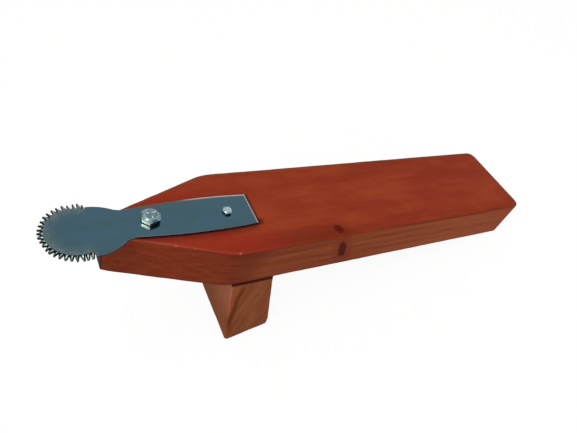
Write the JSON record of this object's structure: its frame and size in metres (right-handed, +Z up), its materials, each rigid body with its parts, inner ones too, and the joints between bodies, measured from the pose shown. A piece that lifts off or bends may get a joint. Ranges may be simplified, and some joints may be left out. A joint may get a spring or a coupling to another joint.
{
  "type": "bench coconut grater",
  "caption": "Sit-on coconut grater: a sloping hardwood seat board on a front foot, with a bolted steel blade whose round head carries bent, twisted teeth.",
  "frame": {"origin": "on the floor, at the centre of the foot's sole", "axes": "+X back to the seat end and -X forward to the grating head, +Y to one side, +Z up"},
  "size_m": [0.5153, 0.1, 0.2068],
  "materials": {
    "seat_wood": "oiled red-brown hardwood, planed",
    "foot_wood": "oiled brown hardwood, sawn and planed",
    "dowel_wood": "bare pale hardwood",
    "blade_steel": "polished carbon steel plate",
    "zinc_plate": "bright zinc plating"
  },
  "bodies": {
    "root": {"seat_board": "seat_wood", "front_foot": "foot_wood", "foot_dowel_near": "dowel_wood", "foot_dowel_far": "dowel_wood", "grater_blade": "blade_steel", "clamp_bolt": "zinc_plate", "clamp_washer": "zinc_plate", "clamp_nut": "zinc_plate", "coach_screw": "zinc_plate"}
  },
  "joints": []
}
